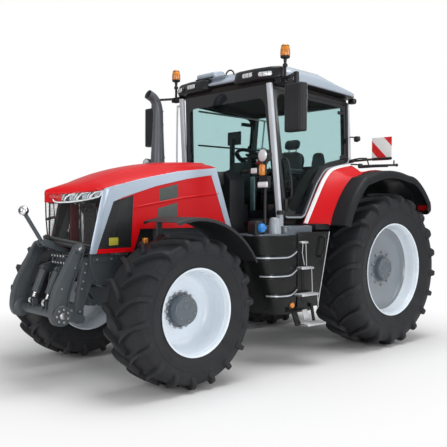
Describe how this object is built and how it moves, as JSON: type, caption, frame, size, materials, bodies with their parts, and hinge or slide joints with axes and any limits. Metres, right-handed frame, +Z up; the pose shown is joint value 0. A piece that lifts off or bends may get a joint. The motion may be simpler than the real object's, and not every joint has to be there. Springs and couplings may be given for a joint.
{
  "type": "farm tractor with a cab and a folding front lift",
  "caption": "Four-wheel-drive farm tractor with a glazed cab, lugged tyres, a tilting hood, a folding front lift and a rear three-point hitch.",
  "frame": {"origin": "centre of the bounding box, on the ground plane", "axes": "+X forward, +Y to the driver's left, +Z up"},
  "size_m": [5.44, 2.668, 3.456],
  "materials": {
    "hood_red": "gloss",
    "body_red": "gloss",
    "stripe_silver": "gloss",
    "dark_cast": "satin",
    "black_paint": "satin",
    "tyre_rubber": "matte",
    "edge_rubber": "matte",
    "black_plastic": "matte",
    "tank_plastic": "gloss",
    "roof_white": "gloss",
    "liner_grey": "matte",
    "window_glass": "clear",
    "lamp_glass": "clear",
    "amber_plastic": "gloss",
    "red_plastic": "gloss",
    "rim_silver": "gloss",
    "step_aluminium": "satin",
    "rod_chrome": "gloss",
    "stack_metal": "satin",
    "seat_fabric": "matte",
    "mesh_grey": "matte",
    "core_grey": "matte",
    "plate_red_white": "gloss"
  },
  "bodies": {
    "chassis": {"fenders": "body_red", "fender_extensions": "edge_rubber", "tanks": "tank_plastic", "steps": "step_aluminium", "front_support": "dark_cast", "engine": "dark_cast", "transmission": "dark_cast", "rear_axle": "dark_cast", "front_axle": "dark_cast", "cab_frame": "black_paint", "cab_floor": "liner_grey", "cab_ceiling": "liner_grey", "cab_glass": "window_glass", "roof": "roof_white", "roof_pods": "black_plastic", "brackets": "black_paint", "amber_lamps": "amber_plastic", "mirrors": "black_plastic", "post_lamps": "lamp_glass", "exhaust": "stack_metal", "firewall": "black_paint", "cooling_pack": "core_grey", "seat": "seat_fabric", "dashboard": "liner_grey", "front_lift_frame": "dark_cast", "front_top_link": "dark_cast", "hitch_bracket": "dark_cast", "rear_top_link": "dark_cast", "warning_plates": "plate_red_white", "plate_arms": "black_paint", "tail_lamps": "red_plastic"},
    "door_left": {"door_frame": "black_paint", "door_glass": "window_glass"},
    "hood": {"hood_shell": "hood_red", "hood_stripes": "stripe_silver", "hood_grilles": "mesh_grey", "headlights": "lamp_glass"},
    "wheel_rear_left": {"tyre_rear_left": "tyre_rubber", "rim_rear_left": "rim_silver"},
    "wheel_rear_right": {"tyre_rear_right": "tyre_rubber", "rim_rear_right": "rim_silver"},
    "steering_left": {"knuckle_left": "dark_cast", "mudguard_left": "tank_plastic"},
    "steering_right": {"knuckle_right": "dark_cast", "mudguard_right": "tank_plastic"},
    "wheel_front_left": {"tyre_front_left": "tyre_rubber", "rim_front_left": "rim_silver"},
    "wheel_front_right": {"tyre_front_right": "tyre_rubber", "rim_front_right": "rim_silver"},
    "front_lift": {"front_crank": "dark_cast"},
    "front_arm_left": {"front_arm_left": "dark_cast"},
    "front_arm_right": {"front_arm_right": "dark_cast"},
    "front_cylinder": {"front_cylinder_barrels": "dark_cast"},
    "front_cylinder_rod": {"front_cylinder_rods": "rod_chrome"},
    "lower_links": {"lower_links": "dark_cast"},
    "lift_arms": {"lift_arms": "dark_cast"},
    "lift_rods": {"lift_rods": "black_paint"}
  },
  "joints": [
    {"name": "wheel_rear_left_spin", "type": "hinge", "parent": "chassis", "child": "wheel_rear_left", "pos_m": [-1.5, 0.95, 0.925], "axis": [0, 1, 0], "continuous": true},
    {"name": "wheel_rear_right_spin", "type": "hinge", "parent": "chassis", "child": "wheel_rear_right", "pos_m": [-1.5, -0.95, 0.925], "axis": [0, 1, 0], "continuous": true},
    {"name": "steer_left", "type": "hinge", "parent": "chassis", "child": "steering_left", "pos_m": [1.55, 0.64, 0.712], "axis": [0, 0, 1], "range_deg": [-30, 30]},
    {"name": "steer_right", "type": "hinge", "parent": "chassis", "child": "steering_right", "pos_m": [1.55, -0.64, 0.712], "axis": [0, 0, 1], "range_deg": [-30, 30]},
    {"name": "wheel_front_left_spin", "type": "hinge", "parent": "steering_left", "child": "wheel_front_left", "pos_m": [1.55, 0.915, 0.712], "axis": [0, 1, 0], "continuous": true},
    {"name": "wheel_front_right_spin", "type": "hinge", "parent": "steering_right", "child": "wheel_front_right", "pos_m": [1.55, -0.915, 0.712], "axis": [0, 1, 0], "continuous": true},
    {"name": "hood_hinge", "type": "hinge", "parent": "chassis", "child": "hood", "pos_m": [0.685, 0, 2.04], "axis": [0, -1, 0], "range_deg": [0, 50]},
    {"name": "door_hinge", "type": "hinge", "parent": "chassis", "child": "door_left", "pos_m": [-1.13531, 0.82327, 2.54141], "axis": [-0.0394, -0.0629, 0.9972], "range_deg": [0, 70]},
    {"name": "front_lift_lower", "type": "hinge", "parent": "chassis", "child": "front_lift", "pos_m": [2.245, 0, 0.625], "axis": [0, 1, 0], "range_deg": [0, 28]},
    {"name": "front_arm_left_fold", "type": "hinge", "parent": "front_lift", "child": "front_arm_left", "pos_m": [2.485, 0.385, 0.69], "axis": [0, 1, 0], "range_deg": [0, 86]},
    {"name": "front_arm_right_fold", "type": "hinge", "parent": "front_lift", "child": "front_arm_right", "pos_m": [2.485, -0.385, 0.69], "axis": [0, 1, 0], "range_deg": [0, 86]},
    {"name": "front_cylinder_swing", "type": "hinge", "parent": "chassis", "child": "front_cylinder", "pos_m": [2.38, 0, 1.075], "axis": [0, 1, 0], "range_deg": [0, 1.04]},
    {"name": "front_cylinder_stroke", "type": "slide", "parent": "front_cylinder", "child": "front_cylinder_rod", "axis": [0.38, 0, -0.925], "range_m": [0, 0.14465]},
    {"name": "rear_lift", "type": "hinge", "parent": "chassis", "child": "lower_links", "pos_m": [-1.83, 0, 0.48], "axis": [0, 1, 0], "range_deg": [-12, 34]},
    {"name": "rear_lift_arms_turn", "type": "hinge", "parent": "chassis", "child": "lift_arms", "pos_m": [-1.83, 0, 1.13], "axis": [0, 1, 0], "range_deg": [-12, 34]},
    {"name": "rear_lift_rods_hang", "type": "hinge", "parent": "lift_arms", "child": "lift_rods", "pos_m": [-2.26, 0, 1.1], "axis": [0, 1, 0], "range_deg": [-34, 12]}
  ],
  "couplings": [
    {"joint": "steer_right", "follows": "steer_left", "ratio": 1},
    {"joint": "front_cylinder_swing", "follows": "front_lift_lower", "ratio": 0.037},
    {"joint": "front_cylinder_stroke", "follows": "front_lift_lower", "m_per_rad": 0.296},
    {"joint": "rear_lift_arms_turn", "follows": "rear_lift", "ratio": 1},
    {"joint": "rear_lift_rods_hang", "follows": "rear_lift", "ratio": -1}
  ]
}
